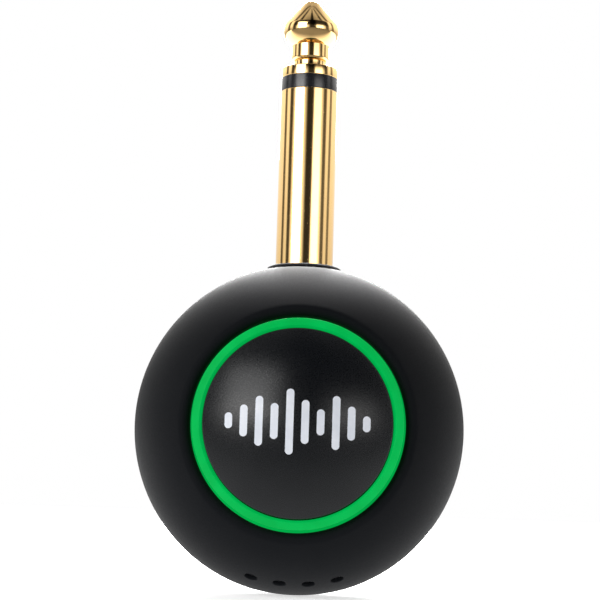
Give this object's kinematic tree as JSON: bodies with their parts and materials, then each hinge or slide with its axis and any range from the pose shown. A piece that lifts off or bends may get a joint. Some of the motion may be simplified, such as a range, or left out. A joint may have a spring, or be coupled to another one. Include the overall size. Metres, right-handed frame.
{
  "type": "wireless guitar transmitter",
  "caption": "Ball-shaped black wireless guitar transmitter with a straight gold 6.35 mm mono plug, a domed press button inside a green light ring, and a charging port underneath",
  "frame": {"origin": "on the plug's axis, on the flat shoulder of the collar that the guitar's jack socket stops against", "axes": "+Z along the plug to its tip, -Y out of the button and light ring, +X to the right seen from the button's side"},
  "size_m": [0.036, 0.0358, 0.0662],
  "materials": {
    "shell_soft_black": "soft-touch matt black coating",
    "ring_green": "translucent light guide lit green, smooth satin",
    "cap_black": "fine-textured satin black plastic",
    "plug_gold": "polished gold plating on brass",
    "insulator_black": "smooth black plastic",
    "insulator_white": "natural nylon",
    "nickel": "nickel plate",
    "tinned": "dull tin plate",
    "board_green": "green solder mask",
    "chip_black": "moulded epoxy",
    "steel": "bright stainless steel",
    "plunger_black": "moulded plastic",
    "led_ivory": "moulded ivory plastic",
    "pipe_smoke": "smoked light pipe, unlit",
    "capacitor_tan": "sintered ceramic",
    "battery_silver": "foil pouch",
    "foam_grey": "closed-cell foam",
    "wire_red": "wire insulation",
    "wire_black": "wire insulation",
    "wire_white": "wire insulation"
  },
  "bodies": {
    "housing": {"front_shell": "shell_soft_black", "rear_shell": "shell_soft_black", "light_ring": "ring_green", "plug_collar": "shell_soft_black", "plug_sleeve": "plug_gold", "plug_insulator": "insulator_black", "plug_tip": "plug_gold", "plug_inner_tube": "insulator_white", "plug_rod": "plug_gold", "plug_nut": "nickel", "ground_tag": "tinned", "tip_tag": "tinned", "main_board": "board_green", "switch_base": "chip_black", "switch_dome": "steel", "switch_cover": "steel", "ring_leds": "led_ivory", "battery_leds": "led_ivory", "light_pipes": "pipe_smoke", "usb_shell": "steel", "usb_tongue": "chip_black", "radio_shield": "tinned", "radio_chip": "chip_black", "audio_chip": "chip_black", "charge_chip": "chip_black", "crystal": "tinned", "antenna": "led_ivory", "chip_capacitors": "capacitor_tan", "battery": "battery_silver", "battery_foam": "foam_grey", "battery_connector": "led_ivory", "battery_wire_red": "wire_red", "battery_wire_black": "wire_black", "tip_wire": "wire_white", "ground_wire": "wire_black", "board_screws": "steel"},
    "button": {"button_cap": "cap_black"},
    "plunger": {"switch_plunger": "plunger_black"}
  },
  "joints": [
    {"name": "button_press", "type": "slide", "parent": "housing", "child": "button", "axis": [0, 1, 0], "range_m": [0, 0.0005], "stiffness_N_per_m": 1500, "springref_m": -0.0008},
    {"name": "switch_press", "type": "slide", "parent": "housing", "child": "plunger", "axis": [0, 1, 0], "range_m": [0, 0.0005], "deforming": ["switch_dome"]}
  ],
  "couplings": [
    {"joint": "switch_press", "follows": "button_press", "ratio": 1}
  ]
}
